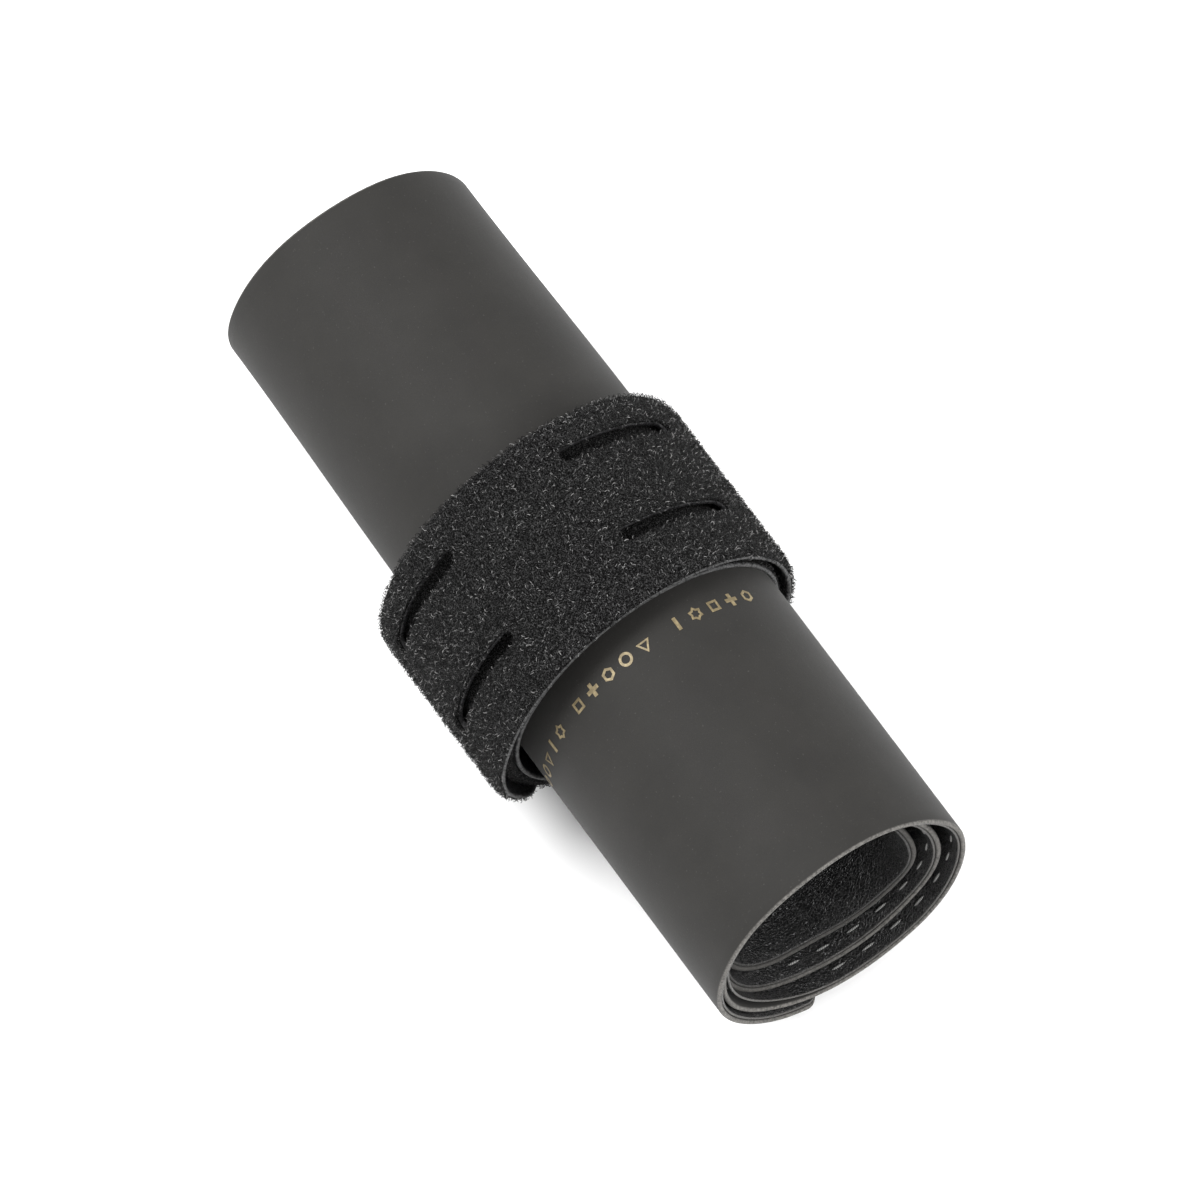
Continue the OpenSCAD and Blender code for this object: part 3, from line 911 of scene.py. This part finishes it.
# %% Make the strap, run by run
CAD_STRAP = {
    "sewn": ("strap_back_roll", "strap_pile_roll"),
    "top": ("strap_back_upper", "strap_pile_upper"),
    "side": ("strap_back_lower", "strap_pile_lower"),
    "under": ("strap_hook_1", "strap_pile_1"),
    "right": ("strap_hook_2", "strap_pile_2"),
    "over": ("strap_hook_3", "strap_pile_3"),
    "front": ("strap_hook_4", "strap_pile_4"),
    "tip": ("tab_hook", "tab_pile"),
}
FREE_DENSITY = 5.1e6  # fibres a square metre where the strap is free
SEWN_DENSITY = 3.0e6  # fewer where the free strap covers it
FIBRE_LENGTH = 0.6 * MM
for seed, (tag, start, end, bodies, joint) in enumerate(STRAP_RUNS):
    angles = list(steps(start, end, 1.5))
    if end == STRAP_TIP:
        angles = sorted(set(angles) | set(STRAP_TIP - np.linspace(0.2, 10, 12)))
    tape = sweep(f"strap_tape_{tag}", strap_path, angles, tape_section, False)
    ground = sweep(f"strap_pile_{tag}", strap_path, angles, ground_section, False)
    for piece, finish in ((tape, hook_tape), (ground, pile_base)):
        mesh_outwards(piece)
        if tag in ("over", "front", "tip"):
            cut(piece, slot_cutters)
        piece.data.materials.clear()
        piece.data.materials.append(finish)
    density = FREE_DENSITY if tag not in ("sewn", "top", "side") else SEWN_DENSITY
    pile = use_recipe(ground, pile_recipe, Density=density, Length=FIBRE_LENGTH, Seed=seed)
    press_down(tape)
    press_down(pile)
    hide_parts(CAD_STRAP[tag][0])
    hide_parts(CAD_STRAP[tag][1])
    run = math.radians(end - start) * strap_path((start + end) / 2)[1]
    flat = (2 * STRAP_HALF * MM, run * MM)
    follow(tape, bodies, joint)
    follow(pile, bodies, joint)
    print(f"strap {tag}: {run:.0f} mm, {len(pile.data.polygons)} faces")
for cutter in slot_cutters:
    bpy.data.objects.remove(cutter)

# %% [markdown]
# ## Stitches
# A running stitch holds the lining to the shell a few millimetres inside each end. It is light thread on a
# dark ground, so each dash shows. The rows could be a texture, but a real dash catches the light from all
# sides, so the stitch recipe lays one bead of thread after another along a line.

# %% Stitch rows on the lining
SEAM_IN = 2.4


def lining_out(angle):
    """How far out from the path the lining's inner face lies at the seam."""
    points = lining_section(angle)
    near = min(points, key=lambda p: abs(p[0] - near_x(angle) + SEAM_IN) + (0 if p[1] < -1.2 else 99))
    return near[1]


def joined(name, objects):
    """One object from several."""
    vertices, faces = [], []
    for o in objects:
        base = len(vertices)
        vertices += [tuple(v.co) for v in o.data.vertices]
        faces += [tuple(base + k for k in p.vertices) for p in o.data.polygons]
    for o in objects:
        bpy.data.objects.remove(o)
    made = make_object(name, vertices, faces)
    made.data.materials.append(thread)
    made.data.shade_smooth()
    return made


for tag, start, end, bodies, joint in SHEET_RUNS:
    rows = []
    for side, edge in ((1, near_x), (-1, far_x)):
        line = [
            place(sheet_path, a, edge(a) - side * SEAM_IN, lining_out(a) - 0.02)
            for a in steps(max(start + 2, 255), end - 3, 2.0)
        ]
        rows.append(stitch_line(f"seam_{tag}_{side}", line))
    seam = joined(f"lining_stitches_{tag}", rows)
    follow(seam, bodies, joint)
    print(f"{seam.name}: {len(seam.data.polygons) // 48} stitches")

# %% [markdown]
# ## Gold marks
# A row of small gold outlines of driver tips is printed on the shell beside the strap. Each one is a thin
# foil shape laid on the curved cloth, a few hundredths of a millimetre thick. A flat decal could lie there
# too, but a thin closed mesh follows the cloth's curve.

# %% Print the marks
MARK_R = 1.25
MARK_X = 24.3
MARK_STEP = 3.9


def star(count, outer, inner, turn=0.0):
    """Points round a circle; with two radii they make a star."""
    radii = [outer, inner] if inner else [outer]
    n = count * len(radii)
    around = [(radii[k % len(radii)], 2 * math.pi * k / n + turn) for k in range(n)]
    return [(radius * math.cos(a), radius * math.sin(a)) for radius, a in around]


def ring_mark(outline, share=0.58):
    """A closed band between an outline and its smaller copy."""
    inner = [(x * share, y * share) for x, y in outline]
    n = len(outline)
    return outline + inner, [(k, (k + 1) % n, n + (k + 1) % n, n + k) for k in range(n)]


def cross_mark(arm, half):
    points = [(half, half), (half, arm), (-half, arm), (-half, half), (-arm, half), (-arm, -half)]
    points += [(-half, -half), (-half, -arm), (half, -arm), (half, -half), (arm, -half), (arm, half)]
    return points, [tuple(range(12))]


MARKS = [
    ring_mark(star(6, MARK_R, None)),
    cross_mark(MARK_R, 0.36),
    ring_mark(star(4, MARK_R * 1.15, None, math.pi / 4)),
    ring_mark(star(6, MARK_R * 1.1, MARK_R * 0.78)),
    ([(-MARK_R, -0.34), (MARK_R, -0.34), (MARK_R, 0.34), (-MARK_R, 0.34)], [(0, 1, 2, 3)]),
    ring_mark(star(3, MARK_R * 1.2, None)),
    ring_mark(star(24, MARK_R, None), 0.62),
]


def mark_on_shell(angle, shape):
    """Lays a flat shape on the shell, with a top, a bottom and sides."""
    points, faces = shape
    per_mm = 180 / math.pi / ROLL_R
    layers = [
        [place(sheet_path, angle - y * per_mm, MARK_X + x, out) for x, y in points] for out in (0.015, 0.05)
    ]
    n = len(points)
    solid = [tuple(n + k for k in face) for face in faces] + [tuple(reversed(face)) for face in faces]
    edges = [edge for face in faces for edge in zip(face, face[1:] + face[:1])]
    solid += [(a, b, n + b, n + a) for a, b in edges if (b, a) not in edges]
    return layers[0] + layers[1], solid


MARK_FROM = 774
mark_places = [k + k // 5 * 0.7 for k in range(15)]
mark_angles = [MARK_FROM + step * math.degrees(MARK_STEP / ROLL_R) for step in mark_places]
for tag, start, end, bodies, joint in SHEET_RUNS:
    vertices, faces = [], []
    for k, angle in enumerate(mark_angles):
        if start <= angle < end:
            points, shape = mark_on_shell(angle, MARKS[k % len(MARKS)])
            faces += [tuple(len(vertices) + i for i in face) for face in shape]
            vertices += points
    if vertices:
        marks = make_object(f"gold_marks_{tag}", vertices, faces)
        mesh_outwards(marks)
        marks.data.materials.append(gold)
        follow(marks, bodies, joint)
        print(f"{marks.name}: {len(faces)} faces")

# %% [markdown]
# ## Pocket panel and sleeves
# In the hollow a panel of lining keeps the ratchet in place, and elastic loops hold the bits and the bar.
# Nobody sees much of them until a tool slides out, but they are real cloth. The panel is a grid given its
# thickness by Solidify, with a sewn hem and a little sag. A loop is a ribbed section swept round its tool.

# %% Pocket panel
def corners(node):
    """A node's lowest and highest corners at rest, in mm."""
    low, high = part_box(node)
    return np.array(low) / MM, np.array(high) / MM


low, high = corners("pocket_panel")
panel_x = np.linspace(low[0], high[0], 40)
panel_y = np.linspace(low[1] + 0.15, high[1] - 0.15, 25)


def sag(x, y):
    return 0.25 * math.sin(math.pi * (x - low[0]) / (high[0] - low[0])) * math.cos(y / 5)


def panel_points(lift):
    return [(x * MM, y * MM, (lift + sag(x, y)) * MM) for x in panel_x for y in panel_y]


rows, columns = len(panel_x), len(panel_y)
sheet_faces = [
    (r * columns + c, (r + 1) * columns + c, (r + 1) * columns + c + 1, r * columns + c + 1)
    for r in range(rows - 1)
    for c in range(columns - 1)
]
panel = make_object("pocket_cloth", panel_points(low[2] + 0.25), sheet_faces, {"cut": [0.0] * rows * columns})
panel.data.materials.append(lining_grain)
thick = panel.modifiers.new("thickness", "SOLIDIFY")
thick.thickness = 0.45 * MM
thick.offset = 0
panel.data = bpy.data.meshes.new_from_object(panel.evaluated_get(bpy.context.evaluated_depsgraph_get()))
panel.modifiers.clear()
panel.data.shade_smooth()
panel.data.set_sharp_from_angle(angle=math.radians(50))
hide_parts("pocket_panel")
flat = ((high[1] - low[1]) * MM, (high[0] - low[0]) * MM)
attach(panel, "roll")
hem_line = [((high[0] - 2) * MM, y * MM, (low[2] + 0.62) * MM) for y in panel_y[2:-2]]
hem = stitch_line("pocket_hem", hem_line, 3.0, 1.7, 0.35)
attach(hem, "roll")


# %% Elastic loops round the bits and the bar
def loop_section(start, end, bore, wall):
    def section(_):
        waves = np.linspace(start, end, 29)
        outer = [(x, bore + wall + 0.06 * math.cos(k * math.pi / 2), 0.0) for k, x in enumerate(waves)]
        return outer + [(end, bore, 0.0), (start, bore, 0.0)]

    return section


def circle_at(middle):
    """A path that goes round one point. The section's out then measures from that point."""

    def path(_):
        return middle, 0.0

    return path


LOOP_BORE, LOOP_WALL = 4.02, 0.5
sleeve_low, sleeve_high = corners("tool_sleeves")
for node in ("bit_hex_large", "bit_hex_small", "bit_cross", "extension_bar"):
    tool_low, tool_high = corners(node)
    section = loop_section(sleeve_low[0], sleeve_high[0], LOOP_BORE, LOOP_WALL)
    path = circle_at((tool_low + tool_high)[1:] / 2)
    loop = sweep(f"loop_{node}", path, list(np.linspace(0, 360, 49)), section, False)
    work = bmesh.new()
    work.from_mesh(loop.data)
    ends = [f for f in work.faces if len(f.verts) > 4]
    bmesh.ops.delete(work, geom=ends, context="FACES")
    bmesh.ops.remove_doubles(work, verts=work.verts, dist=0.001 * MM)
    bmesh.ops.recalc_face_normals(work, faces=work.faces)
    work.to_mesh(loop.data)
    work.free()
    loop.data.materials.append(elastic)
    if node == "bit_hex_large":
        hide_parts("tool_sleeves")
    round_it = 2 * math.pi * (LOOP_BORE + LOOP_WALL / 2 - 0.02)
    flat = ((sleeve_high[0] - sleeve_low[0]) * MM, round_it * MM)
    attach(loop, "roll")

# %% [markdown]
# ## Finishes of the tools
# The tools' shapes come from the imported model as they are, and only get their materials here.

# %% Give each tool its metal
FINISHES = {
    "ratchet_handle": plated_steel,
    "head_cover": plated_steel,
    "cover_screws": dark_steel,
    "drive_gear": plated_steel,
    "pawl": dark_steel,
    "pawl_spring": dark_steel,
    "selector_lever": black_lacquer,
    "bit_hex_large": dark_steel,
    "bit_hex_small": dark_steel,
    "bit_cross": dark_steel,
    "extension_bar": plated_steel,
}
for node, finish in FINISHES.items():
    mesh = frame["nodes"][node].data
    mesh.materials.clear()
    mesh.materials.append(finish)
print("finished tools:", len(FINISHES))

# %% [markdown]
# ## Floor, light and camera
# A product picture: a pale floor, a white surrounding light, a large soft light above, a fill on the other
# side, and a small light that reaches into the open end. A long lens keeps the roll's sides almost parallel.

# %% Floor and light
floor = make_object("floor", [(-3, -3, 0), (3, -3, 0), (3, 3, 0), (-3, 3, 0)], [(0, 1, 2, 3)])


def pale(g):
    white = g.mix(g.noise(3.0), (0.86, 0.86, 0.86), (0.90, 0.90, 0.90))
    return {"Base Color": white, "Roughness": 0.6 + 0.1 * g.noise(8.0)}


floor.data.materials.append(material("pale_floor", pale))
floor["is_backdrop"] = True

world = bpy.data.worlds.new("studio")
world.use_nodes = True
world.node_tree.nodes["Background"].inputs["Color"].default_value = (1, 1, 1, 1)
world.node_tree.nodes["Background"].inputs["Strength"].default_value = 1.0
scene = bpy.context.scene
scene.world = world
scene.view_settings.view_transform = "Standard"


def soft_light(name, place_m, target, size, watts):
    data = bpy.data.lights.new(name, "AREA")
    data.shape, data.size, data.energy = "DISK", size, watts
    light = bpy.data.objects.new(name, data)
    light.location = place_m
    light.rotation_euler = (Vector(target) - Vector(place_m)).to_track_quat("-Z", "Y").to_euler()
    bpy.context.collection.objects.link(light)


middle = (Vector(cad_low) + Vector(cad_high)) / 2
soft_light("key", (-0.5, -0.6, 1.1), middle, 0.8, 22)
soft_light("fill", (0.7, 0.9, 0.9), middle, 0.7, 10)
soft_light("mouth", (0.85, 0.1, 0.62), Vector((cad_high.x, middle.y, middle.z)), 0.22, 5)

# %% Camera
AZIMUTH, ELEVATION = 56.4, 62.05
DISTANCE = 2.306
LENS = 424
AIM_RIGHT, AIM_UP = 0.66 * MM, -2.71 * MM
camera = bpy.data.objects.new("camera", bpy.data.cameras.new("camera"))
bpy.context.collection.objects.link(camera)
scene.camera = camera
a, e = math.radians(AZIMUTH), math.radians(ELEVATION)
back = Vector((math.sin(a) * math.cos(e), -math.cos(a) * math.cos(e), math.sin(e)))
camera.rotation_mode = "QUATERNION"
camera.rotation_quaternion = (-back).to_track_quat("-Z", "Y")
right = camera.rotation_quaternion @ Vector((1, 0, 0))
up = camera.rotation_quaternion @ Vector((0, 1, 0))
roll_middle = Vector((0, *(ROLL_CENTRE * MM)))
camera.location = roll_middle + back * DISTANCE + right * AIM_RIGHT + up * AIM_UP
camera.data.sensor_width = 36
camera.data.lens = LENS
camera.data.clip_end = 20
print(f"camera {DISTANCE} m away, lens {LENS} mm")

# %% Print the sizes of the model and of the scene
low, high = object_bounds()
sizes = {"cad": [list(cad_low), list(cad_high)], "visual": [list(low), list(high)]}
print({k: [round(b - a, 4) for a, b in zip(*v)] for k, v in sizes.items()})
